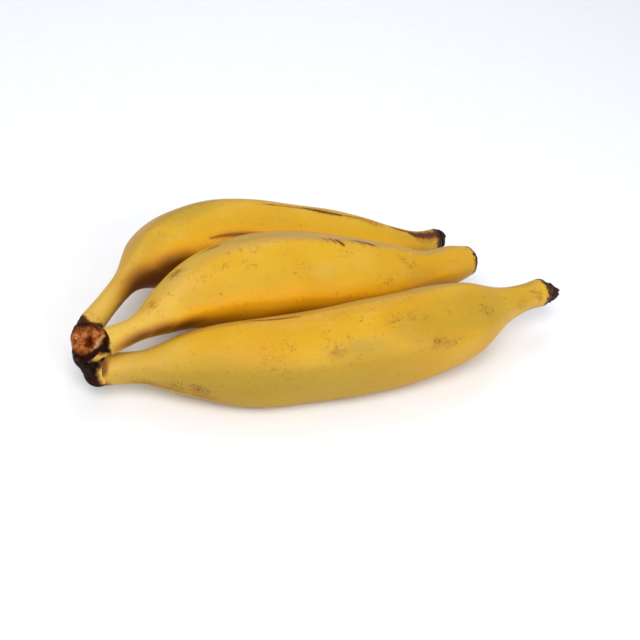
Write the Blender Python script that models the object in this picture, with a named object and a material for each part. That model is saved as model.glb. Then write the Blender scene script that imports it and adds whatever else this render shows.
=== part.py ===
"""Three ripe plantains on one cut crown, lying on their sides on a table.

+X runs from the crown to the fruit tips, +Y to the back, +Z up. The origin is
under the middle of the box round the whole hand. Sizes are in millimetres
until they become vertices.
"""

import math

import bpy
import bmesh
from mathutils import Vector

MM = 0.001

# The middle of the box round the hand, seen from the lines below, becomes the origin.
HAND_SHIFT = (-11.7, -26.2, -0.8)

# The two outer bellies lie on the table, pressed a little flat at this height.
TABLE = 0.8

# Each fruit is a line walked from its cut pedicel to its tip. Headings turn from
# +X towards +Y and pitches rise from the table, both in degrees, at these shares
# of the fruit's length.
TURN_AT = (0.0, 0.14, 0.24, 0.34, 0.62, 0.86, 1.0)

# Radii are given at these shares of the length: pedicel, neck, belly, tip.
RADIUS_AT = (0.0, 0.07, 0.15, 0.25, 0.40, 0.60, 0.76, 0.88, 0.95, 1.0)

# The roll turns a fruit's five edges about its own line, in degrees.
FRUITS = {
    "front": {
        "root": (-121.5, 5.5, 18.0),
        "length": 271.0,
        "heading": (-21, -16, -17, -10, 0, 9, 8),
        "pitch": (5.0, 4.0, 1.0, 1.5, 2.0, -1.5, -4.5),
        "radius": (8.5, 8.5, 15.5, 21.5, 23.5, 24.5, 21.0, 10.5, 8.0, 8.5),
        "dome": 1.2,
        "roll": -15,
    },
    "middle": {
        "root": (-120.0, 5.0, 36.5),
        "length": 235.5,
        "heading": (5, 23, 16, 6, -7, -2, -2),
        "pitch": (6.5, 5.0, 1.0, -3.5, -7.0, -0.5, 6.0),
        "radius": (7.0, 6.5, 11.5, 18.0, 24.5, 23.5, 18.5, 11.0, 11.5, 9.0),
        "dome": 2.5,
        "roll": 0,
    },
    "back": {
        "root": (-121.5, 24.5, 33.5),
        "length": 258.0,
        "heading": (44, 42, 31, 14, -12, -7, -1),
        "pitch": (5.0, 1.0, -4.0, -7.0, -7.0, -3.0, 5.0),
        "radius": (6.5, 6.0, 7.5, 17.5, 24.0, 23.0, 19.5, 12.0, 7.5, 7.0),
        "dome": 2.5,
        "roll": -15,
    },
}

# A plantain is five-sided with rounded edges. Each facet is the angle that it
# faces, from +Y over the top, before the fruit's roll.
FACETS = (61, 133, 205, 277, 349)
EDGE_SHARPNESS = 5.0

# How far the section is five-sided and not round, along the length.
ANGULAR_AT = (0.0, 0.10, 0.25, 0.60, 0.85, 1.0)
ANGULAR = (0.35, 0.45, 0.9, 1.0, 0.7, 0.3)

WALK_STEPS = 320
RINGS = 38
SIDES = 30
DOME_RINGS = 3

# The dried flower remnants at the tips: radius at the base, length, the end's
# radius as a share of the base, how ragged the edge is as a share of the radius,
# and how far the end leans.
REMNANTS = {
    "front": {"base": 7.0, "length": 11.5, "end": 0.22, "ragged": 0.14, "lean": 3.5},
    "middle": {"base": 6.6, "length": 1.8, "end": 0.80, "ragged": 0.08, "lean": 0.0},
    "back": {"base": 6.4, "length": 3.2, "end": 0.75, "ragged": 0.14, "lean": 0.0},
}
REMNANT_SIDES = 18
REMNANT_RINGS = 5

# The crown is a cushion from which the three pedicels grow, cut off by a knife.
# Four lobes make it, from the top down: their places and half widths.
CROWN_LOBES = (
    ((-127.5, 11.0, 33.0), (8.5, 12.0, 9.5)),
    ((-127.5, 11.0, 25.0), (8.5, 9.5, 8.5)),
    ((-125.5, 8.5, 20.0), (7.5, 8.0, 8.0)),
    ((-124.5, 5.0, 17.0), (7.5, 8.0, 8.0)),
)
CUT_NORMAL = (-0.72, -0.28, 0.635)
CUT_AT = (-131.0, 9.0, 34.5)
STUB_FLARE = 1.12
STUB_LENGTH = 6.5
SOCKET_ROOM = 1.5
CROWN_VOXEL = 1.5

# Space left between two pieces that grow together.
GAP = 0.35

SKIN = (0.77, 0.43, 0.045)
CROWN_SKIN = (0.10, 0.035, 0.02)
REMNANT_SKIN = (0.045, 0.02, 0.014)


def eased(stations, values, x):
    """The value at x on a smooth curve through the stations."""
    slopes = []
    for i in range(len(stations) - 1):
        slopes.append((values[i + 1] - values[i]) / (stations[i + 1] - stations[i]))
    tangents = [slopes[0]]
    for before, after in zip(slopes, slopes[1:]):
        tangents.append((before + after) / 2)
    tangents.append(slopes[-1])
    i = 0
    while i < len(stations) - 2 and x > stations[i + 1]:
        i += 1
    width = stations[i + 1] - stations[i]
    a = (x - stations[i]) / width
    return (
        values[i] * (1 + 2 * a) * (1 - a) ** 2
        + width * tangents[i] * a * (1 - a) ** 2
        + values[i + 1] * a * a * (3 - 2 * a)
        + width * tangents[i + 1] * a * a * (a - 1)
    )


def direction(fruit, share):
    heading = math.radians(eased(TURN_AT, fruit["heading"], share))
    pitch = math.radians(eased(TURN_AT, fruit["pitch"], share))
    flat = math.cos(pitch)
    return Vector((flat * math.cos(heading), flat * math.sin(heading), math.sin(pitch)))


def middle_line(fruit):
    """Points at even steps along the fruit, in millimetres."""
    step = fruit["length"] / WALK_STEPS
    points = [Vector(fruit["root"])]
    for i in range(WALK_STEPS):
        points.append(points[-1] + direction(fruit, (i + 0.5) / WALK_STEPS) * step)
    return points


def point_on(points, share):
    place = min(max(share, 0.0), 1.0) * WALK_STEPS
    i = min(int(place), WALK_STEPS - 1)
    return points[i].lerp(points[i + 1], place - i)


def facet_reach(angle):
    """How far the five-sided section reaches at an angle, for a radius of 1."""
    total = 0.0
    for facing in FACETS:
        total += max(math.cos(math.radians(angle - facing)), 0.0) ** EDGE_SHARPNESS
    return total ** (-1 / EDGE_SHARPNESS)


def ring(centre, ahead, radius, angular, roll):
    """One closed section across the fruit, counter-clockwise seen from its tip."""
    side = Vector((0, 0, 1)).cross(ahead).normalized()
    up = ahead.cross(side)
    points = []
    for k in range(SIDES):
        angle = 360 * k / SIDES
        reach = radius * (1 + angular * (facet_reach(angle - roll) - 1))
        turn = math.radians(angle)
        points.append(centre + side * (reach * math.cos(turn)) + up * (reach * math.sin(turn)))
    return points


def closed_loft(name, rings, material):
    """A closed body through the rings, with a point in the middle of each end."""
    mesh = bmesh.new()
    rows = []
    for points in rings:
        rows.append([mesh.verts.new(p * MM) for p in points])
    sides = len(rows[0])
    for low, high in zip(rows, rows[1:]):
        for k in range(sides):
            after = (k + 1) % sides
            mesh.faces.new((low[k], low[after], high[after], high[k]))
    for row, flipped in ((rows[0], True), (rows[-1], False)):
        middle = Vector((0, 0, 0))
        for vert in row:
            middle += vert.co
        centre = mesh.verts.new(middle / sides)
        for k in range(sides):
            after = (k + 1) % sides
            corners = (row[after], row[k], centre) if flipped else (row[k], row[after], centre)
            mesh.faces.new(corners)
    bmesh.ops.recalc_face_normals(mesh, faces=mesh.faces)
    data = bpy.data.meshes.new(name)
    mesh.to_mesh(data)
    mesh.free()
    data.materials.append(material)
    body = bpy.data.objects.new(name, data)
    bpy.context.collection.objects.link(body)
    return body


def skin_material(name, colour, roughness):
    material = bpy.data.materials.new(name)
    material.use_nodes = True
    shader = material.node_tree.nodes["Principled BSDF"]
    shader.inputs["Base Color"].default_value = (*colour, 1)
    shader.inputs["Roughness"].default_value = roughness
    shader.inputs["Metallic"].default_value = 0
    return material


def on_table(points):
    """Where a fruit's belly presses on the table it is flat."""
    return [Vector((p.x, p.y, max(p.z, TABLE))) for p in points]


def plantain(name, fruit):
    points = middle_line(fruit)
    rings = []
    for i in range(RINGS):
        share = i / (RINGS - 1)
        radius = eased(RADIUS_AT, fruit["radius"], share)
        angular = eased(ANGULAR_AT, ANGULAR, share)
        section = ring(point_on(points, share), direction(fruit, share), radius, angular, fruit["roll"])
        rings.append(on_table(section))
    ahead = direction(fruit, 1.0)
    radius = fruit["radius"][-1]
    for i in range(1, DOME_RINGS + 1):
        turn = math.radians(80 * i / DOME_RINGS)
        centre = points[-1] + ahead * (fruit["dome"] * math.sin(turn))
        narrowed = radius * (0.45 + 0.55 * math.cos(turn))
        rings.append(ring(centre, ahead, narrowed, ANGULAR[-1], fruit["roll"]))
    return closed_loft("plantain_" + name, rings, skin_material("skin_" + name, SKIN, 0.45))


def flower_remnant(name, fruit, remnant):
    """The dry stub of the flower, ragged at its outer end."""
    ahead = direction(fruit, 1.0)
    start = middle_line(fruit)[-1] + ahead * (fruit["dome"] + GAP)
    side = Vector((0, 0, 1)).cross(ahead).normalized()
    up = ahead.cross(side)
    rings = []
    for i in range(REMNANT_RINGS):
        share = i / (REMNANT_RINGS - 1)
        radius = remnant["base"] * (1 + (remnant["end"] - 1) * share ** 1.5)
        points = []
        for k in range(REMNANT_SIDES):
            turn = 2 * math.pi * k / REMNANT_SIDES
            wave = math.sin(3 * turn + 1.0) + 0.6 * math.sin(5 * turn + 2.5 * share)
            reach = radius * (1 + remnant["ragged"] * 0.6 * wave * (0.4 + 0.6 * share))
            along = remnant["length"] * share * (1 + remnant["ragged"] * 0.8 * math.sin(4 * turn))
            offset = side * (reach * math.cos(turn)) + up * (reach * math.sin(turn))
            points.append(start + ahead * along + offset - side * (remnant["lean"] * share))
        rings.append(points)
    return closed_loft("flower_remnant_" + name, rings, skin_material("remnant_" + name, REMNANT_SKIN, 0.8))


def stub(fruit):
    """Rings from the flat end of a pedicel back into the crown."""
    ahead = direction(fruit, 0.0)
    start = Vector(fruit["root"]) - ahead * GAP
    middle = Vector(CROWN_LOBES[0][0])
    radius = fruit["radius"][0]
    rings = []
    for share in (0.0, 0.35, 0.7, 1.0):
        bend = share * share
        centre = (start - ahead * (share * STUB_LENGTH)).lerp(middle, 0.6 * bend)
        rings.append(ring(centre, ahead, radius * (1 + (STUB_FLARE - 1) * share), 0.2, fruit["roll"]))
    rings.reverse()
    return rings


def cutter(name, place, facing, half_width, length, sides):
    """A guide prism that starts at a place and runs the way it faces."""
    mesh = bmesh.new()
    bmesh.ops.create_cone(
        mesh, cap_ends=True, segments=sides, radius1=half_width * MM, radius2=half_width * MM, depth=length * MM
    )
    data = bpy.data.meshes.new(name)
    mesh.to_mesh(data)
    mesh.free()
    guide = bpy.data.objects.new(name, data)
    bpy.context.collection.objects.link(guide)
    guide.rotation_mode = "QUATERNION"
    guide.rotation_quaternion = facing.to_track_quat("Z", "Y")
    guide.location = (place + facing * (length / 2)) * MM
    guide.hide_render = True
    guide.display_type = "WIRE"
    guide.parent = hand
    return guide


def cut_away(body, guide):
    cut = body.modifiers.new(guide.name, "BOOLEAN")
    cut.operation = "DIFFERENCE"
    cut.solver = "EXACT"
    cut.object = guide


def crown(material):
    """Stubs and cushion grown into one body, then cut flat by the knife.

    Each pedicel also has a flat seat on it.
    """
    shell = bmesh.new()
    for fruit in FRUITS.values():
        rows = []
        for points in stub(fruit):
            rows.append([shell.verts.new(p * MM) for p in points])
        for low, high in zip(rows, rows[1:]):
            for k in range(SIDES):
                after = (k + 1) % SIDES
                shell.faces.new((low[k], low[after], high[after], high[k]))
        shell.faces.new(list(reversed(rows[0])))
        shell.faces.new(rows[-1])
    for place, size in CROWN_LOBES:
        lobe = bmesh.ops.create_icosphere(shell, subdivisions=3, radius=1.0)
        for vert in lobe["verts"]:
            stretched = Vector(c * s for c, s in zip(vert.co, size))
            vert.co = (stretched + Vector(place)) * MM
    data = bpy.data.meshes.new("crown")
    shell.to_mesh(data)
    shell.free()
    data.materials.append(material)
    body = bpy.data.objects.new("crown", data)
    bpy.context.collection.objects.link(body)

    grown = body.modifiers.new("grown into one", "REMESH")
    grown.mode = "VOXEL"
    grown.voxel_size = CROWN_VOXEL * MM
    soft = body.modifiers.new("soft edges", "SMOOTH")
    soft.factor = 0.5
    soft.iterations = 3

    knife = Vector(CUT_NORMAL).normalized()
    cut_away(body, cutter("knife_cut", Vector(CUT_AT), knife, 50.0, 40.0, 32))
    for name, fruit in FRUITS.items():
        ahead = direction(fruit, 0.0)
        seat = Vector(fruit["root"]) - ahead * GAP
        room = fruit["radius"][0] + SOCKET_ROOM
        cut_away(body, cutter("seat_" + name, seat, ahead, room, 25.0, 32))
    return body


for item in list(bpy.data.objects):
    bpy.data.objects.remove(item, do_unlink=True)

hand = bpy.data.objects.new("hand_of_plantains", None)
hand.location = Vector(HAND_SHIFT) * MM
bpy.context.collection.objects.link(hand)

pieces = [crown(skin_material("crown_skin", CROWN_SKIN, 0.55))]
for fruit_name, shape in FRUITS.items():
    pieces.append(plantain(fruit_name, shape))
    pieces.append(flower_remnant(fruit_name, shape, REMNANTS[fruit_name]))
for piece in pieces:
    piece.parent = hand
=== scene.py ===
"""The looks of a hand of three ripe plantains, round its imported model."""

import math

import bpy
import bmesh
import numpy as np
from mathutils import Matrix, Vector, noise


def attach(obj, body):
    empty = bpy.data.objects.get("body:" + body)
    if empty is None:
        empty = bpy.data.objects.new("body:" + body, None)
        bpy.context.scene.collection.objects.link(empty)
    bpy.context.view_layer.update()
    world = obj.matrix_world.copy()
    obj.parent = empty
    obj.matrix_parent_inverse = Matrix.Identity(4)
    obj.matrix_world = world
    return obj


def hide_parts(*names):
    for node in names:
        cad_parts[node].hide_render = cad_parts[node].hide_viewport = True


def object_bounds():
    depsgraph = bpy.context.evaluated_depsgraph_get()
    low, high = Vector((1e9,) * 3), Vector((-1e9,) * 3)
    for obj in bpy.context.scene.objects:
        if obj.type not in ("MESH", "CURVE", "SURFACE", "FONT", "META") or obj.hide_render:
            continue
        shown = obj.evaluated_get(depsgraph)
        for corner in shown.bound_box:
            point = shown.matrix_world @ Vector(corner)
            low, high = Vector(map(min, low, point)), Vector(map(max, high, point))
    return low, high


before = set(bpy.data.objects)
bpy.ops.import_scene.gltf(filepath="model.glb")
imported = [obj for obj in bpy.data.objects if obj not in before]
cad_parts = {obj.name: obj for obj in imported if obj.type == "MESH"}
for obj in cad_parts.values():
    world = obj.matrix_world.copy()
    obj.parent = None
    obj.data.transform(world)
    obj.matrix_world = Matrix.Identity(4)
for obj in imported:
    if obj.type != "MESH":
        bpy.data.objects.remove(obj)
cad_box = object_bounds()

# The view, the table and the light. The table is a plain pale sheet, the light
# is soft and comes from the upper left, and the camera stands in front of the
# crown's side and looks down on the hand.
VIEW_AZIMUTH = -34.0
VIEW_ELEVATION = 39.0
VIEW_ROLL = -11.0
VIEW_DISTANCE = 0.5556
VIEW_TARGET = Vector((-0.0117, -0.0262, 0.0242))
LENS = 56.25
SENSOR = 36.0


def looking_back(azimuth, elevation):
    """The direction from the object to an eye at this azimuth and elevation."""
    turn, rise = math.radians(azimuth), math.radians(elevation)
    return Vector((math.sin(turn) * math.cos(rise), -math.cos(turn) * math.cos(rise), math.sin(rise)))


def aimed(thing, target, distance, azimuth, elevation, roll=0.0):
    """Stands a camera or lamp off from a target and points it there."""
    back = looking_back(azimuth, elevation)
    right = Vector((0, 0, 1)).cross(back).normalized()
    up = back.cross(right)
    tilt = math.radians(roll)
    right_rolled = right * math.cos(tilt) - up * math.sin(tilt)
    up_rolled = up * math.cos(tilt) + right * math.sin(tilt)
    turned = Matrix((right_rolled, up_rolled, back)).transposed().to_4x4()
    thing.matrix_world = Matrix.Translation(target + back * distance) @ turned
    bpy.context.collection.objects.link(thing)


eye = bpy.data.cameras.new("eye")
eye.lens = LENS
eye.sensor_width = SENSOR
eye.clip_start = 0.02
camera = bpy.data.objects.new("camera", eye)
aimed(camera, VIEW_TARGET, VIEW_DISTANCE, VIEW_AZIMUTH, VIEW_ELEVATION, VIEW_ROLL)
bpy.context.scene.camera = camera

# name: azimuth, elevation, distance, width, watts, colour
LAMPS = {
    "key": (-42.0, 56.0, 1.1, 0.7, 7.0, (1.0, 0.985, 0.965)),
    "fill": (12.0, 28.0, 1.4, 1.0, 6.5, (1.0, 0.985, 0.97)),
    "rim": (150.0, 50.0, 1.3, 0.8, 3.5, (0.98, 0.985, 1.0)),
}
for lamp_name, (azimuth, elevation, distance, width, watts, colour) in LAMPS.items():
    light = bpy.data.lights.new(lamp_name, "AREA")
    light.shape = "DISK"
    light.size = width
    light.energy = watts
    light.color = colour
    aimed(bpy.data.objects.new(lamp_name, light), Vector((0, 0, 0.02)), distance, azimuth, elevation)

room = bpy.data.worlds.new("room")
room.use_nodes = True
room.node_tree.nodes["Background"].inputs["Color"].default_value = (0.95, 0.97, 1.0, 1)
room.node_tree.nodes["Background"].inputs["Strength"].default_value = 0.58
bpy.context.scene.world = room
bpy.context.scene.view_settings.view_transform = "Standard"


class Flow:
    """What leaves one socket of a material, so that shading reads as arithmetic."""

    def __init__(self, tree, socket=None):
        self.tree = tree
        self.socket = socket

    def node(self, kind, settings=(), inputs=(), out=0):
        """Adds a node, its settings first and then the values or links of its sockets."""
        made = self.tree.nodes.new(kind)
        for key, value in dict(settings).items():
            setattr(made, key, value)
        for key, value in dict(inputs).items():
            if isinstance(value, Flow):
                self.tree.links.new(value.socket, made.inputs[key])
            else:
                made.inputs[key].default_value = value
        return Flow(self.tree, made.outputs[out] if made.outputs else None)

    def maths(self, operation, first, second=0.0):
        return self.node("ShaderNodeMath", {"operation": operation}, {0: first, 1: second})

    def __add__(self, other):
        return self.maths("ADD", self, other)

    def __sub__(self, other):
        return self.maths("SUBTRACT", self, other)

    def __rsub__(self, other):
        return self.maths("SUBTRACT", other, self)

    def __mul__(self, other):
        return self.maths("MULTIPLY", self, other)

    __radd__ = __add__
    __rmul__ = __mul__

    def larger(self, other):
        return self.maths("MAXIMUM", self, other)

    def size(self):
        return self.maths("ABSOLUTE", self)

    def rise(self, low, high):
        """Goes smoothly from 0 to 1 as this goes from low to high."""
        return self.node(
            "ShaderNodeMapRange",
            {"interpolation_type": "SMOOTHSTEP"},
            {"Value": self, "From Min": low, "From Max": high},
        )

    def tint(self, first, second):
        """The first colour where this is 0 and the second where it is 1."""
        colours = {0: self, 6: rgba(first), 7: rgba(second)}
        return self.node("ShaderNodeMix", {"data_type": "RGBA"}, colours, out=2)

    def stretched(self, factors):
        """This place, drawn out along an axis where its factor is small."""
        return self.node("ShaderNodeVectorMath", {"operation": "MULTIPLY"}, {0: self, 1: factors})

    def clouds(self, scale, detail=3.0, rough=0.55, twist=0.0):
        """Noise at this place, about 0 to 1."""
        return self.node(
            "ShaderNodeTexNoise",
            {},
            {"Vector": self, "Scale": scale, "Detail": detail, "Roughness": rough, "Distortion": twist},
        )

    def shaken(self, cloud, amount):
        """This place, moved by some noise so that round cells go ragged."""
        way = {0: (1.0, 1.3, -0.8), "Scale": cloud * amount}
        push = self.node("ShaderNodeVectorMath", {"operation": "SCALE"}, way)
        return self.node("ShaderNodeVectorMath", {"operation": "ADD"}, {0: self, 1: push})

    def cells(self, scale, randomness=1.0, out="Distance"):
        return self.node(
            "ShaderNodeTexVoronoi", {}, {"Vector": self, "Scale": scale, "Randomness": randomness}, out=out
        )


def rgba(colour):
    return colour if isinstance(colour, Flow) else (*colour, 1.0)


def fresh_material(name):
    """An empty material, with a start for its arithmetic."""
    material = bpy.data.materials.new(name)
    material.use_nodes = True
    material.node_tree.nodes.clear()
    return material, Flow(material.node_tree)


def surface(start, colour, roughness, relief, relief_depth, fixed):
    """The shader: colour, roughness and relief vary, and the fixed values don't."""
    bumped = start.node("ShaderNodeBump", {}, {"Height": relief, "Distance": relief_depth, "Strength": 1.0})
    shader = start.node(
        "ShaderNodeBsdfPrincipled",
        {},
        {"Base Color": colour, "Roughness": roughness, "Normal": bumped, **fixed},
    )
    start.node("ShaderNodeOutputMaterial", {}, {"Surface": shader})


table_material, start = fresh_material("pale_table")
place = start.node("ShaderNodeTexCoord", out="Object")
grain = place.clouds(60.0, 4.0)
surface(
    start,
    grain.tint((0.86, 0.87, 0.90), (0.90, 0.91, 0.94)),
    0.65 + 0.1 * grain,
    grain,
    0.0002,
    {"Specular IOR Level": 0.2},
)
bpy.ops.mesh.primitive_plane_add(size=6.0, location=(0, 0, -0.0002))
table = bpy.context.object
table.name = "table"
table.data.materials.append(table_material)

# The three plantains. Each grew as one body of peel over flesh, from a thin
# pedicel at the crown to a blunt tip, with five soft edges. The peel is ripe and
# yellow, satin, with brown specks, and its edges are bruised dark in places.

# Lengths here are millimetres and turns are degrees, and the lines and thicknesses
# are those of the solids. Shares go from 0 at the pedicel to 1 at the tip, and
# angles round a fruit go from 0 at its left over 90 at its top.
MM = 0.001
HAND_SHIFT = np.array((-11.7, -26.2, -0.8))
TURN_AT = (0.0, 0.14, 0.24, 0.34, 0.62, 0.86, 1.0)
RADIUS_AT = (0.0, 0.07, 0.15, 0.25, 0.40, 0.60, 0.76, 0.88, 0.95, 1.0)
FRUITS = {
    "front": {
        "root": (-121.5, 5.5, 18.0),
        "length": 271.0,
        "heading": (-21, -16, -17, -10, 0, 9, 8),
        "pitch": (5.0, 4.0, 1.0, 1.5, 2.0, -1.5, -4.5),
        "radius": (8.5, 8.5, 15.5, 21.5, 23.5, 24.5, 21.0, 10.5, 8.0, 8.5),
        "dome": 1.2,
        "roll": -15.0,
    },
    "middle": {
        "root": (-120.0, 5.0, 36.5),
        "length": 235.5,
        "heading": (5, 23, 16, 6, -7, -2, -2),
        "pitch": (6.5, 5.0, 1.0, -3.5, -7.0, -0.5, 6.0),
        "radius": (7.0, 6.5, 11.5, 18.0, 24.5, 23.5, 18.5, 11.0, 11.5, 9.0),
        "dome": 2.5,
        "roll": 0.0,
    },
    "back": {
        "root": (-121.5, 24.5, 33.5),
        "length": 258.0,
        "heading": (44, 42, 31, 14, -12, -7, -1),
        "pitch": (5.0, 1.0, -4.0, -7.0, -7.0, -3.0, 5.0),
        "radius": (6.5, 6.0, 7.5, 17.5, 24.0, 23.0, 19.5, 12.0, 7.5, 7.0),
        "dome": 2.5,
        "roll": -15.0,
    },
}
FACETS = (61, 133, 205, 277, 349)
EDGES = (97.0, 169.0, 241.0, 313.0, 25.0)
EDGE_SHARPNESS = 5.0
ANGULAR_AT = (0.0, 0.10, 0.25, 0.60, 0.85, 1.0)
ANGULAR = (0.35, 0.45, 0.9, 1.0, 0.7, 0.3)
WALK_STEPS = 320
RINGS = 300
SIDES = 140
DOME_RINGS = 10
DOME_TURN = 84.0
TIP_FLAT = 0.35
CREST_WIDTH = 1.8
CREST_HEIGHT = 0.22
SWELL_HEIGHT = 0.20
GROOVE_DEPTH = 0.09
THIN_RADIUS = 7.0
FAT_RADIUS = 17.0
NECKS = ((0.06, 0.07), (0.93, 0.06))
UPPER_FACET = 58.0
UNDER_FACET = 205.0
BOX_EASE = 0.3

# Dark lines on the peel: the share of the length and the angle round the fruit at
# each stop, the half width in millimetres, and how dark the line is.
DARK_LINES = {
    "front": (
        (((0.262, 71), (0.294, 78), (0.330, 80), (0.372, 79)), 0.7, 0.7),
        (((0.168, 190), (0.176, 187)), 0.6, 0.6),
    ),
    "middle": (
        (((0.550, 90), (0.556, 94)), 0.8, 0.8),
        (((0.567, 90), (0.576, 97)), 1.1, 1.0),
        (((0.582, 92), (0.597, 101)), 1.5, 1.0),
        (((0.636, 87), (0.645, 90)), 0.8, 0.7),
        (((0.650, 88), (0.659, 94)), 0.9, 0.8),
        (((0.664, 89), (0.690, 95)), 1.1, 0.9),
        (((0.300, 58), (0.318, 63)), 0.7, 0.5),
    ),
    "back": (
        (((0.500, 89), (0.570, 86), (0.640, 86), (0.700, 88), (0.790, 88)), 0.55, 0.8),
        (((0.620, 85), (0.670, 88), (0.715, 89)), 1.15, 1.0),
        (((0.860, 84), (0.920, 90)), 0.8, 0.8),
        (((0.915, 93), (0.935, 102), (0.960, 107), (1.010, 112)), 3.0, 1.0),
        (((0.350, 137), (0.378, 136), (0.413, 136), (0.447, 136), (0.500, 134)), 0.9, 0.55),
    ),
}

# Soft areas: share of the length, angle, half length and half width in
# millimetres, and strength. Stains are dark, and those low on the necks of the
# middle and back fruits are painted shade where the fruits meet. Bruises are
# russet, dull areas greyish, and specks and scratches crowd together in the
# speckled ones.
STAINS_AND_SHADE = {
    "front": (
        (0.500, 88, 60, 4, 0.25),
        (0.001, 136, 2.6, 5, 1.4),
        (0.000, 218, 4, 5, 1.2),
        (0.110, 206, 20, 3, 0.7),
        (0.180, 208, 14, 3, 0.6),
        (0.960, 215, 9, 6, 0.3),
    ),
    # painted shade along the lower edge of the neck, and a stain near the tip
    "middle": (
        (0.060, 182, 16, 5, 0.9),
        (0.110, 188, 14, 6, 0.9),
        (0.160, 198, 18, 7, 0.9),
        (0.930, 70, 10, 3, 0.25),
    ),
    # mostly painted shade under the neck and belly, where the middle fruit meets it
    "back": (
        (0.165, 184, 26, 11, 1.1),
        (0.240, 164, 24, 8, 1.0),
        (0.310, 152, 26, 5, 0.4),
        (0.090, 182, 20, 5, 0.6),
        (0.115, 138, 16, 5, 0.22),
    ),
}
BRUISES = {
    "front": (
        (0.422, 138, 7, 4, 0.7),
        (0.150, 194, 24, 5, 0.5),
        (0.640, 152, 12, 4, 0.6),
        (0.900, 150, 12, 7, 0.5),
        (0.006, 122, 3.5, 3.5, 0.9),
        (0.955, 128, 9, 6, 0.5),
        (0.968, 160, 3, 3, 0.9),
    ),
    "middle": ((0.306, 54, 9, 4, 0.9), (0.119, 84, 5, 5, 0.6), (0.207, 60, 5, 4, 0.9)),
    "back": (
        (0.780, 88, 22, 4, 0.7),
        (0.900, 84, 14, 4, 0.6),
        (0.420, 136, 22, 4, 0.8),
        (0.170, 160, 26, 8, 0.4),
    ),
}
PALER = {
    "front": (
        (0.105, 120, 14, 8, 0.9),
        (0.135, 104, 9, 6, 0.8),
        (0.475, 136, 22, 5, 0.7),
        (0.960, 150, 6, 10, 0.5),
    ),
    "middle": (
        (0.185, 78, 16, 12, 1.0),
        (0.150, 100, 14, 9, 0.8),
        (0.250, 66, 24, 9, 0.8),
        (0.640, 118, 14, 7, 0.4),
    ),
    "back": ((0.130, 84, 18, 6, 0.9), (0.060, 96, 14, 4, 0.8)),
}
DULL = {
    "front": (
        (0.250, 165, 45, 14, 1.0),
        (0.470, 140, 26, 7, 0.8),
        (0.120, 180, 34, 9, 1.0),
        (0.935, 75, 16, 4, 0.9),
        (0.700, 126, 50, 17, 0.85),
        (0.900, 128, 24, 12, 0.6),
    ),
    "middle": ((0.430, 80, 30, 4, 0.5), (0.350, 134, 44, 17, 0.40), (0.200, 124, 14, 10, 0.35)),
    "back": ((0.330, 84, 26, 8, 0.9), (0.230, 96, 14, 8, 0.5), (0.950, 78, 12, 5, 1.0)),
}
SPECKLED = {
    "front": (
        (0.133, 184, 8, 4, 0.9),
        (0.170, 183, 5, 3, 1.4),
        (0.178, 192, 5, 3, 1.7),
        (0.075, 200, 9, 3, 1.2),
        (0.556, 111, 7, 4, 0.8),
        (0.594, 110, 4, 4, 0.8),
        (0.618, 118, 5, 4, 0.6),
        (0.775, 132, 7, 5, 0.9),
        (0.632, 149, 5, 3, 1.2),
        (0.660, 156, 5, 3, 1.1),
        (0.424, 130, 9, 5, 0.6),
        (0.315, 126, 14, 8, 0.4),
        (0.460, 92, 10, 4, 0.5),
        (0.960, 140, 7, 9, 0.6),
    ),
    "middle": (
        (0.207, 60, 5, 4, 1.8),
        (0.116, 90, 4, 5, 1.2),
        (0.290, 110, 6, 2.5, 0.8),
        (0.346, 121, 3.5, 2.5, 0.8),
        (0.364, 100, 3.5, 2.5, 0.8),
        (0.240, 112, 4, 3, 0.5),
        (0.460, 124, 10, 6, 0.4),
        (0.610, 104, 10, 5, 0.4),
        (0.575, 94, 9, 3, 1.0),
        (0.660, 91, 12, 3, 1.2),
        (0.765, 115, 4, 3, 0.9),
        (0.795, 124, 5, 4, 0.9),
        (0.713, 152, 6, 4, 0.7),
    ),
    "back": (
        (0.246, 102, 4, 3, 0.5),
        (0.306, 102, 5, 3, 0.6),
        (0.162, 88, 5, 4, 0.5),
        (0.100, 150, 12, 6, 0.4),
        (0.806, 89, 6, 3, 1.2),
    ),
}


def eased(stations, values, x):
    """The values at x on a smooth curve through the stations."""
    stations, values = np.asarray(stations, float), np.asarray(values, float)
    slopes = np.diff(values) / np.diff(stations)
    tangents = np.concatenate(([slopes[0]], (slopes[:-1] + slopes[1:]) / 2, [slopes[-1]]))
    i = np.clip(np.searchsorted(stations, x, side="right") - 1, 0, len(stations) - 2)
    width = stations[i + 1] - stations[i]
    a = (x - stations[i]) / width
    return (
        values[i] * (1 + 2 * a) * (1 - a) ** 2
        + width * tangents[i] * a * (1 - a) ** 2
        + values[i + 1] * a * a * (3 - 2 * a)
        + width * tangents[i + 1] * a * a * (a - 1)
    )


def directions(fruit, shares):
    """Which way the fruit's middle line points at these shares of its length."""
    heading = np.radians(eased(TURN_AT, fruit["heading"], shares))
    pitch = np.radians(eased(TURN_AT, fruit["pitch"], shares))
    return np.stack((np.cos(pitch) * np.cos(heading), np.cos(pitch) * np.sin(heading), np.sin(pitch)), -1)


def middle_line(fruit, shares):
    """Where the fruit's middle line is, in millimetres, and how it points there."""
    steps = (np.arange(WALK_STEPS) + 0.5) / WALK_STEPS
    walk = np.vstack((np.zeros(3), np.cumsum(directions(fruit, steps) * fruit["length"] / WALK_STEPS, 0)))
    walk = walk + np.array(fruit["root"])
    at = np.linspace(0, 1, WALK_STEPS + 1)
    points = np.stack([np.interp(shares, at, walk[:, axis]) for axis in range(3)], -1)
    return points, directions(fruit, shares)


def facet_reach(angles):
    """How far the five-sided section reaches at each angle, for a radius of 1."""
    total = 0.0
    for facing in FACETS:
        total = total + np.maximum(np.cos(np.radians(angles - facing)), 0.0) ** EDGE_SHARPNESS
    return total ** (-1 / EDGE_SHARPNESS)


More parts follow.
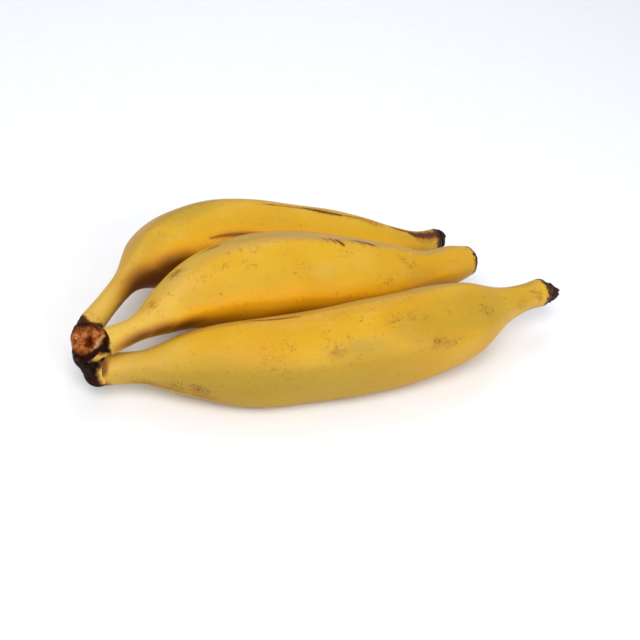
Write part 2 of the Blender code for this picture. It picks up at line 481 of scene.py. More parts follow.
def across(ahead):
    """The sideways and upward directions that go with each direction ahead."""
    side = np.stack((-ahead[:, 1], ahead[:, 0], np.zeros(len(ahead))), -1)
    side /= np.linalg.norm(side, axis=1, keepdims=True)
    return side, np.cross(ahead, side)


def grid_faces(rows, columns):
    """Quads over a tube of rows, each a closed loop, and a fan over each end."""
    faces = []
    for i in range(rows - 1):
        low, high = i * columns, (i + 1) * columns
        for k in range(columns):
            after = (k + 1) % columns
            faces.append((low + k, low + after, high + after, high + k))
    first, last, top = rows * columns, rows * columns + 1, (rows - 1) * columns
    for k in range(columns):
        after = (k + 1) % columns
        faces.append((after, k, first))
        faces.append((top + k, top + after, last))
    return faces


def kept_inside(points):
    """Points in millimetres, eased back where they would pass the solids' box."""
    low, high = np.array(cad_box) / MM
    points = high - BOX_EASE * np.logaddexp(0.0, (high - points) / BOX_EASE)
    points[:, :2] = low[:2] + BOX_EASE * np.logaddexp(0.0, (points[:, :2] - low[:2]) / BOX_EASE)
    points[:, 2] = np.maximum(points[:, 2], 0.0)
    return points


def tube(name, grid, fields, straight):
    """A closed smooth tube from a grid of points, with a float field per vertex."""
    rows, columns = grid.shape[:2]
    ends = np.stack((grid[0].mean(0), grid[-1].mean(0)))
    points = kept_inside(np.vstack((grid.reshape(-1, 3), ends)) + HAND_SHIFT)
    data = bpy.data.meshes.new(name)
    data.from_pydata((points * MM).tolist(), [], grid_faces(rows, columns))
    for key, values in fields.items():
        flat = np.concatenate((values.ravel(), (values[0].mean(), values[-1].mean())))
        data.attributes.new(key, "FLOAT", "POINT").data.foreach_set("value", flat.astype(np.float32))
    flat = np.vstack((straight.reshape(-1, 3), straight[0].mean(0), straight[-1].mean(0)))
    data.attributes.new("straight", "FLOAT_VECTOR", "POINT").data.foreach_set(
        "vector", (flat * MM).astype(np.float32).ravel()
    )
    data.shade_smooth()

    # the first ring keeps its own shading up to the edge, so its cap is flat
    for k in range(columns):
        data.polygons[(rows - 1) * columns + 2 * k].use_smooth = False
    piece = bpy.data.objects.new(name, data)
    bpy.context.collection.objects.link(piece)
    return piece


def blob(away, width):
    """1 at no distance, and fading to 0 over about this width."""
    return np.exp(-((away / width) ** 2))


def turned_apart(angles, angle):
    """How many degrees each angle is from the given one, at most 180 either way."""
    return (angles - angle + 180.0) % 360.0 - 180.0


def soft_patches(patches, shares, angles, radii, length):
    """The strongest of the soft areas at each point."""
    total = np.zeros(np.broadcast(shares, angles).shape)
    for share, angle, half_length, half_width, strength in patches:
        along = (shares - share) * length / half_length
        round_it = np.radians(turned_apart(angles, angle)) * radii / half_width
        total = np.maximum(total, strength * np.exp(-(along**2) - round_it**2))
    return total


FAR_OFF = 8.0
LINE_END = 0.8


def from_lines(lines, shares, angles, radii, length):
    """How far each point is from the nearest line, in half widths, and how dark that is."""
    nearest = np.full(np.broadcast(shares, angles).shape, FAR_OFF)
    darkness = np.zeros_like(nearest)
    for stops, half_width, strength in lines:
        at = [stop[0] for stop in stops]
        angle = np.interp(shares, at, [stop[1] for stop in stops])
        beyond = np.maximum(np.maximum(at[0] - shares, shares - at[-1]), 0.0) * length
        inside = np.clip((shares - at[0]) / (at[-1] - at[0]), 0.04, 0.96)
        width = half_width * (0.4 + 0.6 * np.sin(np.pi * inside) ** 0.6)
        aside = np.radians(turned_apart(angles, angle)) * radii
        distance = np.hypot(aside / width, beyond / LINE_END)
        darkness = np.where(distance < nearest, strength, darkness)
        nearest = np.minimum(nearest, distance)
    return nearest, darkness


def plantain(name, fruit, seed):
    """One fruit's peel, with the fields that its material reads."""
    shares = np.linspace(0, 1, RINGS)
    points, ahead = middle_line(fruit, shares)
    radii = eased(RADIUS_AT, fruit["radius"], shares)
    dome = np.radians(DOME_TURN * np.arange(1, DOME_RINGS + 1) / DOME_RINGS)
    points = np.vstack((points, points[-1] + ahead[-1] * (fruit["dome"] * np.sin(dome))[:, None]))
    ahead = np.vstack((ahead, np.repeat(ahead[-1:], DOME_RINGS, 0)))
    radii = np.concatenate((radii, radii[-1] * (TIP_FLAT + (1 - TIP_FLAT) * np.cos(dome))))
    travel = np.concatenate((shares * fruit["length"], fruit["length"] + fruit["dome"] * np.sin(dome)))
    shares = (travel / fruit["length"])[:, None]
    angles = np.arange(SIDES)[None, :] * (360.0 / SIDES)
    angular = eased(ANGULAR_AT, ANGULAR, np.minimum(shares, 1.0))
    reach = radii[:, None] * (1 + angular * (facet_reach(angles - fruit["roll"]) - 1))

    # the edges stand a little proud, and the peel swells and sinks between them
    crest = np.zeros_like(reach)
    for edge in EDGES:
        aside = np.radians(turned_apart(angles, edge + fruit["roll"])) * reach
        crest = np.maximum(crest, blob(aside, CREST_WIDTH))
    fat = np.clip((radii[:, None] - THIN_RADIUS) / (FAT_RADIUS - THIN_RADIUS), 0.0, 1.0)
    turn = np.radians(angles)
    swell = (
        np.sin(9.0 * shares + 2 * turn + seed)
        + 0.7 * np.sin(23.0 * shares - 3 * turn + 2 * seed)
        + 0.5 * np.sin(41.0 * shares + 5 * turn + 3 * seed)
    )
    neck = sum(blob(shares - share, width) for share, width in NECKS)
    grooves = np.sin(5 * turn + 3 * np.sin(7 * shares + seed)) + 0.4 * np.sin(9 * turn + 9 * shares)
    reach = reach + (CREST_HEIGHT * crest + SWELL_HEIGHT * swell) * fat + GROOVE_DEPTH * neck * grooves

    side, up = across(ahead)
    offsets = reach[..., None] * (
        side[:, None] * np.cos(turn)[..., None] + up[:, None] * np.sin(turn)[..., None]
    )
    grid = points[:, None] + offsets
    straight = np.stack(
        (np.broadcast_to(travel[:, None], reach.shape), reach * np.cos(turn), reach * np.sin(turn)), -1
    )
    streak, inked = from_lines(DARK_LINES[name], shares, angles, reach, fruit["length"])
    fields = {
        "share": np.broadcast_to(shares, reach.shape),
        "crest": crest * fat,
        "streak": streak,
        "inked": inked,
        "stain_and_shade": soft_patches(STAINS_AND_SHADE[name], shares, angles, reach, fruit["length"]),
        "pale": soft_patches(PALER[name], shares, angles, reach, fruit["length"]),
        "bruise": soft_patches(BRUISES[name], shares, angles, reach, fruit["length"]),
        "dull": soft_patches(DULL[name], shares, angles, reach, fruit["length"]),
        "speckled": soft_patches(SPECKLED[name], shares, angles, reach, fruit["length"]),
        "above": turned_apart(angles, UPPER_FACET + fruit["roll"]) * np.ones_like(reach),
        "under": turned_apart(angles, UNDER_FACET + fruit["roll"]) * np.ones_like(reach),
    }
    return tube("peel_" + name, grid, fields, straight)


RIPE = (0.590, 0.335, 0.012)
RIPE_DEEP = (0.550, 0.285, 0.006)
PALE = (0.600, 0.380, 0.070)
GREYED = (0.345, 0.222, 0.021)
TAN = (0.440, 0.250, 0.055)
ORANGE = (0.760, 0.345, 0.003)
AMBER = (0.390, 0.150, 0.004)
STAIN_AND_SHADE_BROWN = (0.095, 0.024, 0.003)
RUSSET = (0.260, 0.080, 0.010)
BROWN = (0.075, 0.022, 0.007)
BLACKENED = (0.020, 0.009, 0.006)
TIP_DARK_FROM = {"front": 0.990, "middle": 0.996, "back": 0.988}
# the under facet's painted shade and bounced light, where it reaches round and where it fades
UNDERSIDE_SHADE_AND_BOUNCE = {"front": GREYED, "middle": ORANGE, "back": ORANGE}
TAN_FROM = {"front": (0.10, 0.24), "middle": (0.25, 0.38), "back": (0.10, 0.24)}
UNDER_FADE = {"front": (0.75, 0.45), "middle": (0.98, 0.86), "back": (0.97, 0.85)}
UNDER_REACH = {"front": (48.0, 34.0), "middle": (64.0, 36.0), "back": (78.0, 48.0)}
SPECK_CELLS = 430.0
PEPPER_CELLS = 1250.0
SPECK_SHAKE = 0.0012
TIP_RAGGED = 0.028
PEEL_RELIEF = 0.00010


def peel_material(name, shift):
    """Ripe peel: clouds of two yellows, a tan upper facet, specks, curls and lines."""
    material, start = fresh_material("peel_" + name)

    def field(key):
        return start.node("ShaderNodeAttribute", {"attribute_name": key}, out="Fac")

    straight = start.node("ShaderNodeAttribute", {"attribute_name": "straight"}, out="Vector")
    straight = start.node("ShaderNodeVectorMath", {"operation": "ADD"}, {0: straight, 1: (shift, 0.0, 0.0)})
    share = field("share")
    broad = straight.clouds(20.0, 2.0)
    patchy = straight.stretched((0.4, 1.0, 1.0)).clouds(75.0, 4.0, 0.6)
    mottled = straight.clouds(260.0, 4.0, 0.6)
    fibre = straight.stretched((0.08, 1.0, 1.0)).clouds(900.0, 3.0, 0.6)
    fine = straight.clouds(1500.0, 3.0)
    ragged = straight.clouds(420.0, 4.0, 0.65)

    # yellows, with the upper facet tan, and on the under facet painted shade and bounced light: darker olive
    # on the front, orange on the middle and back
    colour = broad.rise(0.35, 0.68).tint(RIPE, RIPE_DEEP)
    colour = (patchy.rise(0.50, 0.74) * 0.40).tint(colour, PALE)
    colour = (mottled.rise(0.50, 0.75) * 0.16).tint(colour, GREYED)
    necks = share.rise(0.22, 0.04).larger(share.rise(0.88, 0.99) * 0.3)
    necks = necks.larger(field("pale") * (0.6 + 0.8 * patchy))
    colour = (necks * 0.7).tint(colour, PALE)
    body = share.rise(0.10, 0.24) * share.rise(0.97, 0.85)
    upper = (field("above").size() + 16.0 * (patchy - 0.5)).rise(42.0, 31.0)
    upper = upper * share.rise(*TAN_FROM[name]) * body
    colour = (upper * 0.62).tint(colour, TAN)
    # painted shade and bounced orange light on the under facet
    painted_underside = (field("under").size() + 14.0 * (patchy - 0.5)).rise(*UNDER_REACH[name])
    painted_underside = painted_underside * share.rise(0.07, 0.18) * share.rise(*UNDER_FADE[name])
    colour = (painted_underside * 0.70).tint(colour, UNDERSIDE_SHADE_AND_BOUNCE[name])
    # stains and painted shade: an amber edge, then dark brown
    stain_and_shade = field("stain_and_shade") * (0.8 + 0.4 * patchy)
    colour = (stain_and_shade.rise(0.08, 0.6) * 0.75).tint(colour, AMBER)
    colour = (stain_and_shade.rise(0.35, 1.0) * 0.9).tint(colour, STAIN_AND_SHADE_BROWN)
    dull = (field("dull") * (0.3 + 1.4 * patchy)).rise(0.15, 0.85)
    colour = (dull * 0.6).tint(colour, GREYED)
    colour = (fibre.rise(0.5, 0.8) * 0.10).tint(colour, GREYED)

    scuffed = field("crest") * (ragged + 0.4 * (mottled - 0.5)).rise(0.52, 0.68) * body
    colour = (scuffed * 0.35).tint(colour, RUSSET)

    # bruises, then the specks and small curled scratches
    bruise = (field("bruise") * (0.1 + 1.8 * ragged)).rise(0.25, 1.0)
    colour = (bruise * 0.55).tint(colour, RUSSET)
    crowd = field("speckled")
    shaken = straight.shaken(ragged, SPECK_SHAKE)

    def chance(scale, channel):
        """A number from 0 to 1 for each cell, its own."""
        shades = shaken.cells(scale, out="Color")
        return start.node("ShaderNodeSeparateColor", {}, {"Color": shades}, out=channel)

    kept = chance(SPECK_CELLS, "Red") + 0.35 * crowd + 0.5 * (broad - 0.5)
    speck = shaken.cells(SPECK_CELLS).rise(0.17, 0.07) * kept.rise(0.93, 0.98)
    kept = chance(PEPPER_CELLS, "Green") + 0.32 * crowd + 0.3 * (patchy - 0.5)
    pepper = shaken.cells(PEPPER_CELLS).rise(0.34, 0.20) * kept.rise(0.96, 0.99)
    curl = (straight.clouds(330.0, 2.0, 0.5) - 0.5).size().rise(0.012, 0.003)
    curled = curl * (straight.clouds(210.0, 1.0) + 0.22 * crowd).rise(0.655, 0.70)
    scratched = (straight.clouds(650.0, 2.0, 0.5) - 0.5).size().rise(0.030, 0.010)
    scratched = scratched * (straight.clouds(380.0, 2.0) + 0.30 * crowd).rise(0.70, 0.78)
    marks = (speck * 0.75).larger(pepper * (0.5 + 0.25 * crowd))
    marks = marks.larger(curled * 0.75).larger(scratched * 0.8)
    colour = marks.tint(colour, BROWN)
    smudge = (crowd * ragged.rise(0.42, 0.7)) * 0.30
    colour = smudge.tint(colour, RUSSET)

    # dark lines, with a russet edge round them
    line = field("streak")
    halo = (line + 2.6 * (ragged - 0.5)).rise(2.4, 0.7)
    colour = (halo * 0.65).tint(colour, RUSSET)
    dark = (line + 1.8 * (ragged - 0.5)).rise(1.1, 0.5) * field("inked")
    colour = (dark * 0.95).tint(colour, BROWN)

    # the tip has dried brown, and black at its rim
    past_tip = share + TIP_RAGGED * (ragged - 0.5)
    dark_from = TIP_DARK_FROM[name]
    colour = past_tip.rise(dark_from - 0.003, dark_from + 0.006).tint(colour, BROWN)
    colour = past_tip.rise(dark_from + 0.004, dark_from + 0.012).tint(colour, BLACKENED)

    roughness = 0.40 + 0.14 * patchy + 0.12 * bruise + 0.2 * dark + 0.1 * dull
    relief = 0.5 * fibre + 0.25 * fine + 0.5 * mottled + 1.0 * broad - 0.5 * marks - 0.8 * dark
    surface(start, colour, roughness, relief, PEEL_RELIEF, {"IOR": 1.45, "Specular IOR Level": 0.25})
    return material


# each fruit has swells and clouds of its own
for number, (name, fruit) in enumerate(FRUITS.items()):
    peel = plantain(name, fruit, 1.7 * number + 0.4)
    peel.data.materials.append(peel_material(name, 0.7 * number))
    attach(peel, "root")
    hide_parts("plantain_" + name)

# The crown. It is the stem cushion that all three pedicels grow from, one body
# of tough skin over fibrous flesh. A knife cut it off the bunch: the cut has
# dried tan and red-brown, and the skin round it has gone black.
CROWN_LOBES = (
    ((-127.5, 11.0, 33.0), (8.5, 12.0, 9.5)),
    ((-127.5, 11.0, 25.0), (8.5, 9.5, 8.5)),
    ((-125.5, 8.5, 20.0), (7.5, 8.0, 8.0)),
    ((-124.5, 5.0, 17.0), (7.5, 8.0, 8.0)),
)
CUT_NORMAL = Vector((-0.72, -0.28, 0.635)).normalized()
CUT_AT = Vector((-131.0, 9.0, 34.5))
STUB_BACK = (-3.0, -1.5, 0.0, 2.0, 4.3, 6.5)
STUB_SWELL = (0.91, 0.965, 1.015, 1.05, 1.09, 1.12)
STUB_SIDES = 48
STUB_LEAN = 0.6
LOBE_DETAIL = 4
BLADE_RADIUS = 50.0
BLADE_DEPTH = 40.0
BLADE_SIDES = 64

# the skin is grown twice, coarse before the cut and fine after it: the size of its
# grid in millimetres, and how many rounds of smoothing
GROWN = ((0.7, 8), (0.33, 2))
SMOOTHING = 0.5


def stub_rings(fruit):
    """Rings from inside a pedicel's end back into the crown, one at each STUB_BACK."""
    ahead = directions(fruit, np.array([0.0]))
    side, up = across(ahead)
    turn = np.arange(STUB_SIDES) * (2 * math.pi / STUB_SIDES)
    section = side * np.cos(turn)[:, None] + up * np.sin(turn)[:, None]
    rings = []
    for back, swell in zip(STUB_BACK, STUB_SWELL):
        centre = np.array(fruit["root"]) - ahead[0] * back
        lean = STUB_LEAN * max(back / STUB_BACK[-1], 0.0) ** 2
        centre = centre + (np.array(CROWN_LOBES[0][0]) - centre) * lean
        rings.append(centre + section * (fruit["radius"][0] * swell))
    return rings


def crown_mesh():
    """Stubs and lobes grown into one fine skin, with the cut made flat."""
    shell = bmesh.new()
    for fruit in FRUITS.values():
        rows = [[shell.verts.new(Vector(p) * MM) for p in ring] for ring in stub_rings(fruit)]
        for low, high in zip(rows, rows[1:]):
            for k in range(STUB_SIDES):
                after = (k + 1) % STUB_SIDES
                shell.faces.new((high[k], high[after], low[after], low[k]))
        shell.faces.new(rows[0])
        shell.faces.new(list(reversed(rows[-1])))
    for place, size in CROWN_LOBES:
        lobe = bmesh.ops.create_icosphere(shell, subdivisions=LOBE_DETAIL, radius=1.0)
        for vert in lobe["verts"]:
            stretched = Vector(c * s for c, s in zip(vert.co, size))
            vert.co = (stretched + Vector(place)) * MM
    bmesh.ops.recalc_face_normals(shell, faces=shell.faces)
    data = bpy.data.meshes.new("crown_shell")
    shell.to_mesh(data)
    shell.free()
    body = bpy.data.objects.new("crown_shell", data)
    bpy.context.collection.objects.link(body)

    bpy.ops.mesh.primitive_cylinder_add(
        vertices=BLADE_SIDES, radius=BLADE_RADIUS * MM, depth=BLADE_DEPTH * MM
    )
    blade = bpy.context.object
    blade.rotation_mode = "QUATERNION"
    blade.rotation_quaternion = CUT_NORMAL.to_track_quat("Z", "Y")
    blade.location = (CUT_AT + CUT_NORMAL * (BLADE_DEPTH / 2)) * MM
    for voxel, rounds in GROWN:
        grown = body.modifiers.new("grown", "REMESH")
        grown.mode = "VOXEL"
        grown.voxel_size = voxel * MM
        soft = body.modifiers.new("soft", "SMOOTH")
        soft.factor = SMOOTHING
        soft.iterations = rounds
        if not any(modifier.type == "BOOLEAN" for modifier in body.modifiers):
            cut = body.modifiers.new("cut", "BOOLEAN")
            cut.operation = "DIFFERENCE"
            cut.solver = "EXACT"
            cut.object = blade
    bpy.context.view_layer.update()
    evaluated = body.evaluated_get(bpy.context.evaluated_depsgraph_get())
    mesh = bpy.data.meshes.new_from_object(evaluated)
    bpy.data.objects.remove(body, do_unlink=True)
    bpy.data.objects.remove(blade, do_unlink=True)
    return mesh


def read_points(mesh):
    """A mesh's points in millimetres, and its normals."""
    flat = np.empty(len(mesh.vertices) * 3, np.float32)
    mesh.vertices.foreach_get("co", flat)
    normals = np.empty(len(mesh.vertices) * 3, np.float32)
    mesh.vertices.foreach_get("normal", normals)
    return flat.reshape(-1, 3).astype(float) / MM, normals.reshape(-1, 3).astype(float)


LUMP_ROUGHNESS = 0.6
LUMP_STEP = 2.1
LUMP_LAYERS = 4


def lumps(points, scale, seed):
    """Noise at each point, about -1 to 1."""
    moved = points * scale + seed
    return np.array([noise.fractal(Vector(p), LUMP_ROUGHNESS, LUMP_STEP, LUMP_LAYERS) for p in moved])


def from_segment(places, first, last):
    """How far each place on the cut is from a straight line between two others."""
    first, last = np.array(first), np.array(last)
    run = last - first
    share = np.clip((places - first) @ run / (run @ run), 0.0, 1.0)
    return np.linalg.norm(places - first - share[:, None] * run, axis=1)


# places on the cut are millimetres right and up of CUT_AT, seen facing it
CUT_RIGHT = np.array((0.64, -0.62, 0.45))
CUT_UP = np.array((0.27, 0.73, 0.63))
HOLLOW_AT = (3.5, 0.4)
HOLLOW_SIZE = (2.4, 3.1)
PALE_EDGE = ((5.2, -4.4), (9.2, -1.4), (11.8, 2.0))
PALE_WIDTH = (1.3, 1.9)
# pale streaks left of the hollow, partly their own colour and partly a painted highlight
STREAKS_AT = (-3.4, 0.3)
STREAKS_SIZE = (2.8, 3.6)

# dried sap, pale grey on the black skin, which also stands in as a painted glint: where, and how large beside
# the full size across and up
LATEX_AND_GLINT_SPOTS = (((-134.0, 6.5, 26.5), 0.8), ((-130.4, 0.2, 29.0), 0.9))
LATEX_AND_GLINT_SIZE = (1.5, 2.6)

# the dark skin's edge round the cut, on the right and below
RIM_UP = (-7.5, -4.6, -1.4, 2.6, 6.0, 9.5)
RIM_RIGHT = (2.5, 6.4, 10.8, 13.2, 12.0, 8.5)
LOW_RIM_RIGHT = (-9.0, -7.4, -3.3, 0.9, 3.9, 5.5)
LOW_RIM_UP = (-1.0, -2.7, -5.0, -6.4, -5.0, -4.6)

# how far back the yellow goes: in front a line on the cut's plane, above a low
# height and near the pedicel, and for the others millimetres behind the pedicel's
# end at angles round it
FRONT_YELLOW_UP = (-21.0, -19.3, -16.3, -13.9, -12.8, -10.5, -8.6, -7.6, -6.7, -5.2)
FRONT_YELLOW_RIGHT = (1.5, 1.8, 2.4, 2.6, 3.4, 4.2, 4.6, 5.4, 6.4, 9.4)
FRONT_YELLOW_TOP = -4.9
FRONT_YELLOW_LOW = 14.2
FRONT_YELLOW_OUT = 20.0
YELLOW_OUT = 4.5
YELLOW_FADE = {"front": 3.2, "middle": 2.6, "back": 3.2}
YELLOW_ROUND = {
    "middle": ((60, 99, 131, 162, 200, 260), (0.8, 0.6, 1.1, 2.0, 1.6, 1.0)),
    "back": ((48, 86, 111, 138, 158, 200, 300), (2.6, 5.3, 8.2, 4.3, 2.2, 1.8, 2.0)),
}

# the skin is flush from this far ahead of a pedicel's end to this far behind it
JOINT_OUT = 1.5
JOINT_AHEAD = 4.0
JOINT_BEHIND = 3.0
JOINT_FADE = 2.0

# where each point lies: over the cut, beside its places, and round its hollow
mesh = crown_mesh()
points, normals = read_points(mesh)
blade_facing = np.array(CUT_NORMAL)
above = (points - np.array(CUT_AT)) @ blade_facing
facing = normals @ blade_facing
on_cut = np.clip((above + 0.9) / 0.6, 0.0, 1.0) * np.clip((facing - 0.55) / 0.3, 0.0, 1.0)
places = np.stack(((points - np.array(CUT_AT)) @ CUT_RIGHT, (points - np.array(CUT_AT)) @ CUT_UP), -1)
from_hollow = places - np.array(HOLLOW_AT)
spokes = np.arctan2(from_hollow[:, 1], from_hollow[:, 0])
far = np.linalg.norm(from_hollow, axis=1)
threads = lumps(np.stack((np.cos(spokes) * 5, np.sin(spokes) * 5, far * 0.25), -1), 1.0, 4.0)
rough_cut = lumps(points, 0.5, 3.0)
broad_cut = lumps(points, 0.22, 6.0)
hollow = blob(from_hollow[:, 0] + 0.6 * rough_cut, HOLLOW_SIZE[0])
hollow = hollow * blob(from_hollow[:, 1] + 0.8 * threads, HOLLOW_SIZE[1])
# raised pale fibres left of the hollow, partly their own colour and partly a painted highlight
streaks = blob(places[:, 0] - STREAKS_AT[0], STREAKS_SIZE[0])
streaks = streaks * blob(places[:, 1] - STREAKS_AT[1], STREAKS_SIZE[1])
pale = 0.85 * streaks * np.clip(0.5 + 1.6 * rough_cut, 0.0, 1.0)
for first, last, width in zip(PALE_EDGE, PALE_EDGE[1:], PALE_WIDTH):
    pale = np.maximum(pale, blob(from_segment(places, first, last) + 0.5 * rough_cut, width))
past_right = places[:, 0] - np.interp(places[:, 1], RIM_UP, RIM_RIGHT)
past_low = np.interp(places[:, 0], LOW_RIM_RIGHT, LOW_RIM_UP) - places[:, 1]
dark_rim = np.maximum(past_right, past_low) + 0.9 * rough_cut

# how far the skin stands out, in millimetres: torn flesh on the cut, and creased
# skin with a thicker rim round it
wrinkles = lumps(points * np.array((1.0, 1.0, 0.6)), 0.33, 8.0)
rim = blob(above + 1.2, 1.5) * (1 - on_cut)
lift = on_cut * (0.6 * rough_cut + 1.0 * broad_cut + 0.7 * threads - 1.8 * hollow + 1.0 * pale)
lift = lift + (1 - on_cut) * (0.45 * wrinkles - 0.35 * np.abs(wrinkles) + 0.35 * rim * (1 + rough_cut))

# the fruits' yellow runs over the crown, and the skin is flush where they join
peel = np.zeros(len(points))
flush = np.zeros(len(points))
for name, fruit in FRUITS.items():
    ahead = directions(fruit, np.array([0.0]))
    side, up = across(ahead)
    behind = (np.array(fruit["root"]) - points) @ ahead[0]
    away = points - np.array(fruit["root"]) + behind[:, None] * ahead[0]
    off_line = np.linalg.norm(away, axis=1)
    if name == "front":
        covers = places[:, 0] - np.interp(places[:, 1], FRONT_YELLOW_UP, FRONT_YELLOW_RIGHT)
        covers = np.minimum(covers, 1.4 * (FRONT_YELLOW_TOP - places[:, 1]))
        covers = np.minimum(covers, 1.6 * (points[:, 2] - FRONT_YELLOW_LOW))
        covers = np.minimum(covers, FRONT_YELLOW_OUT - off_line)
    else:
        round_it = np.degrees(np.arctan2(away @ up[0], away @ side[0])) % 360
        covers = np.interp(round_it, *YELLOW_ROUND[name], period=360) - behind
        covers = np.minimum(covers, fruit["radius"][0] + YELLOW_OUT - off_line)
    peel = np.maximum(peel, np.clip(0.25 + (covers + 0.6 * rough_cut) / YELLOW_FADE[name], 0.0, 1.0))
    joining = (off_line < fruit["radius"][0] + JOINT_OUT) * (behind > -JOINT_AHEAD)
    flush = np.maximum(flush, np.clip((JOINT_BEHIND - behind) / JOINT_FADE, 0.0, 1.0) * joining)
peel = peel * (1 - on_cut)
lift = lift * (1 - 0.75 * peel) * (1 - flush)
# pale spots of dried sap, partly a painted glint
latex_and_glint = np.zeros(len(points))
for spot, width in LATEX_AND_GLINT_SPOTS:
    away = points - np.array(spot)
    across_it = blob(np.hypot(away[:, 0], away[:, 1]), LATEX_AND_GLINT_SIZE[0] * width)
    latex_and_glint = np.maximum(latex_and_glint, blob(away[:, 2], LATEX_AND_GLINT_SIZE[1] * width) * across_it)
latex_and_glint = latex_and_glint * np.clip(0.75 + 1.2 * rough_cut, 0.0, 1.0)
# the cut's sunken parts, which its flesh shows darker: painted shade
sunk_shade = broad_cut + 0.5 * rough_cut

points = kept_inside(points + normals * lift[:, None] + HAND_SHIFT)
mesh.vertices.foreach_set("co", (points * MM).astype(np.float32).ravel())
crown_fields = {
    "cut": on_cut,
    "hollow": hollow,
    "pale": pale,
    "high": places[:, 1],
    "rim": dark_rim,
    "peel": peel,
    "latex_and_glint": latex_and_glint,
    "thread": threads,
    "sunk_shade": sunk_shade,
}
for key, values in crown_fields.items():
    mesh.attributes.new(key, "FLOAT", "POINT").data.foreach_set("value", values.astype(np.float32))
mesh.shade_smooth()
mesh.materials.clear()
crown = bpy.data.objects.new("crown_cushion", mesh)
bpy.context.collection.objects.link(crown)

CROWN_RELIEF = 0.00030
crown_material, start = fresh_material("crown")
place = start.node("ShaderNodeTexCoord", out="Object")
cut, hollow, pale, high, rim, peel, latex_and_glint, thread, sunk_shade = (
    start.node("ShaderNodeAttribute", {"attribute_name": key}, out="Fac") for key in crown_fields
)
coarse = place.clouds(240.0, 4.0, 0.6)
middling = place.clouds(600.0, 4.0, 0.6)
fine = place.clouds(1500.0, 4.0, 0.6)

# the flesh of the cut, from its own colours out to its dark edge
flesh = coarse.rise(0.35, 0.65).tint((0.49, 0.160, 0.038), (0.26, 0.060, 0.009))
flesh = (thread.rise(0.05, 0.6) * 0.6).tint(flesh, (0.50, 0.23, 0.085))
flesh = (middling.rise(0.55, 0.7) * 0.5).tint(flesh, (0.14, 0.030, 0.007))
# darker in the cut's dips: painted shade
flesh = (sunk_shade.rise(0.0, -0.55) * 0.6).tint(flesh, (0.130, 0.026, 0.005))
flesh = ((pale + 0.5 * (middling - 0.5)).rise(0.35, 0.8) * 0.9).tint(flesh, (0.52, 0.29, 0.13))
flesh = ((hollow + 0.4 * (middling - 0.5)).rise(0.15, 0.60) * 0.95).tint(flesh, (0.068, 0.007, 0.0))
flesh = ((high + 4.0 * (coarse - 0.5)).rise(-1.5, -5.0) * 0.6).tint(flesh, (0.160, 0.030, 0.006))
flesh = ((high + 6.0 * (coarse - 0.5)).rise(3.8, 7.0) * 0.6).tint(flesh, (0.110, 0.024, 0.006))
flesh = ((high + 3.0 * (coarse - 0.5)).rise(6.4, 9.6) * 0.95).tint(flesh, (0.026, 0.006, 0.004))
rim = rim + 1.6 * (middling - 0.5)
flesh = (rim.rise(-1.6, 0.2) * 0.75).tint(flesh, (0.110, 0.020, 0.005))
flesh = (rim.rise(-0.5, 0.9) * 0.97).tint(flesh, (0.016, 0.004, 0.002))

# the dried skin, redder above the cut, and the yellow that runs over it
reddish = (high + 3.0 * (coarse - 0.5)).rise(4.0, 7.0)
bark = coarse.rise(0.40, 0.62).tint((0.004, 0.002, 0.001), (0.024, 0.006, 0.003))
bark = (middling.rise(0.58, 0.72) * 0.4).tint(bark, (0.060, 0.018, 0.010))
bark = (reddish * 0.8).tint(bark, (0.070, 0.019, 0.008))
# pale dried sap, partly a painted glint on the black skin
bark = ((latex_and_glint * (0.2 + 1.5 * middling)).rise(0.2, 0.9) * 0.7).tint(bark, (0.15, 0.10, 0.075))
skin = coarse.rise(0.35, 0.65).tint((0.60, 0.375, 0.072), (0.53, 0.315, 0.055))
peeled = peel + 0.3 * (middling - 0.5)
skin = peeled.rise(0.95, 0.35).tint(skin, (0.150, 0.062, 0.014))
peeled = peeled.rise(0.10, 0.45)
colour = peeled.tint(bark, skin)
edge = (cut + 0.5 * (middling - 0.5)).rise(0.20, 0.80)
colour = edge.tint(colour, flesh)
surface(
    start,
    colour,
    0.30 + 0.30 * fine + 0.22 * edge + 0.1 * peeled,
    middling + 0.5 * fine + 0.4 * coarse,
    CROWN_RELIEF,
    {"IOR": 1.45, "Specular IOR Level": 0.04},
)
crown.data.materials.append(crown_material)
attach(crown, "root")
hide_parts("crown")

# The dried flower remnants. Each is what is left of the flower at the tip, dry
# black-brown tissue that grew on the fruit: a ragged point in front, a thin disc
# on the blunt middle tip and a short collar behind.
REMNANTS = {
    "front": {"base": 7.3, "length": 11.5, "end": 0.22, "ragged": 0.14, "lean": 3.5},
    "middle": {"base": 6.6, "length": 1.8, "end": 0.80, "ragged": 0.08, "lean": 0.0},
    "back": {"base": 6.4, "length": 3.2, "end": 0.75, "ragged": 0.14, "lean": 0.0},
}
REMNANT_RINGS = 40
REMNANT_SIDES = 96
REMNANT_SUNK = 0.6
REMNANT_RELIEF = 0.0005


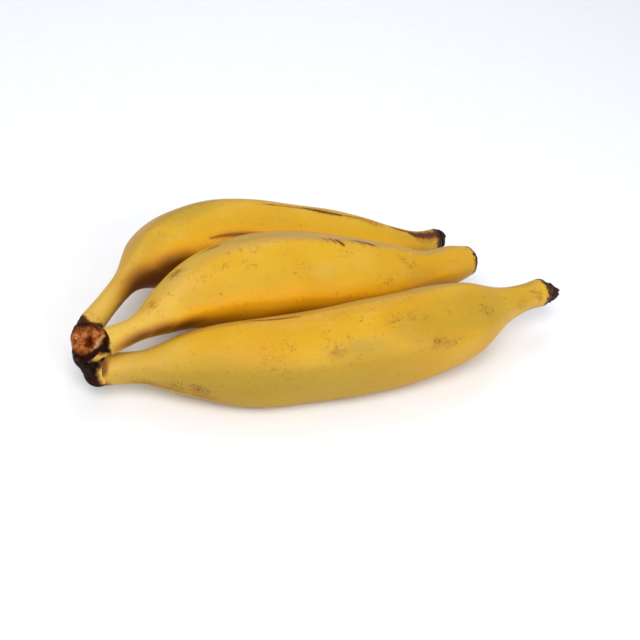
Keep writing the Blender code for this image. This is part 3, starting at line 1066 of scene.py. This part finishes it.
def flower_remnant(name, fruit, remnant):
    """A creased, tapering tube on the fruit's tip, sunk a little into it."""
    point, ahead = middle_line(fruit, np.array([1.0]))
    side, up = across(ahead)
    start_point = point[0] + ahead[0] * (fruit["dome"] - REMNANT_SUNK)
    share = np.linspace(0, 1, REMNANT_RINGS)[:, None]
    turn = np.arange(REMNANT_SIDES)[None, :] * (2 * math.pi / REMNANT_SIDES)
    radius = remnant["base"] * (1 + (remnant["end"] - 1) * share**1.9)
    wave = np.sin(3 * turn + 1.0) + 0.6 * np.sin(5 * turn + 2.5 * share) + 0.5 * np.sin(13 * turn + 3 * share)
    reach = radius * (1 + remnant["ragged"] * 0.6 * wave * (0.4 + 0.6 * share))
    along = remnant["length"] * share * (1 + remnant["ragged"] * 0.8 * np.sin(4 * turn))
    along = along + REMNANT_SUNK * (1 - share)
    grid = (
        start_point
        + ahead[0] * along[..., None]
        + side[0] * (reach * np.cos(turn) - remnant["lean"] * share)[..., None]
        + up[0] * (reach * np.sin(turn))[..., None]
    )
    shrivelled = lumps(grid.reshape(-1, 3), 0.35, 5.0).reshape(reach.shape)
    creased = np.abs(lumps(grid.reshape(-1, 3), 0.6, 9.0)).reshape(reach.shape)
    straight = grid - start_point
    outwards = side[0] * np.cos(turn)[..., None] + up[0] * np.sin(turn)[..., None]
    grid = grid + outwards * (np.minimum(share * 6, 1.0) * (0.55 * shrivelled - 0.7 * creased))[..., None]
    return tube("flower_remnant_skin_" + name, grid, {"share": share * np.ones_like(turn)}, straight)


def remnant_material(name):
    """Dry black-brown tissue, browner where it leaves the fruit."""
    material, start = fresh_material("flower_remnant_" + name)
    straight = start.node("ShaderNodeAttribute", {"attribute_name": "straight"}, out="Vector")
    share = start.node("ShaderNodeAttribute", {"attribute_name": "share"}, out="Fac")
    coarse = straight.clouds(400.0, 4.0, 0.65)
    fine = straight.clouds(1800.0, 4.0, 0.65)
    colour = coarse.rise(0.4, 0.65).tint((0.012, 0.006, 0.005), (0.060, 0.024, 0.016))
    colour = (share.rise(0.35, 0.0) * coarse.rise(0.4, 0.6) * 0.7).tint(colour, (0.15, 0.050, 0.015))
    fixed = {"IOR": 1.45, "Specular IOR Level": 0.2}
    surface(start, colour, 0.55 + 0.3 * fine, coarse + 0.5 * fine, REMNANT_RELIEF, fixed)
    return material


for name, remnant in REMNANTS.items():
    skin = flower_remnant(name, FRUITS[name], remnant)
    skin.data.materials.append(remnant_material(name))
    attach(skin, "root")
    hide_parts("flower_remnant_" + name)
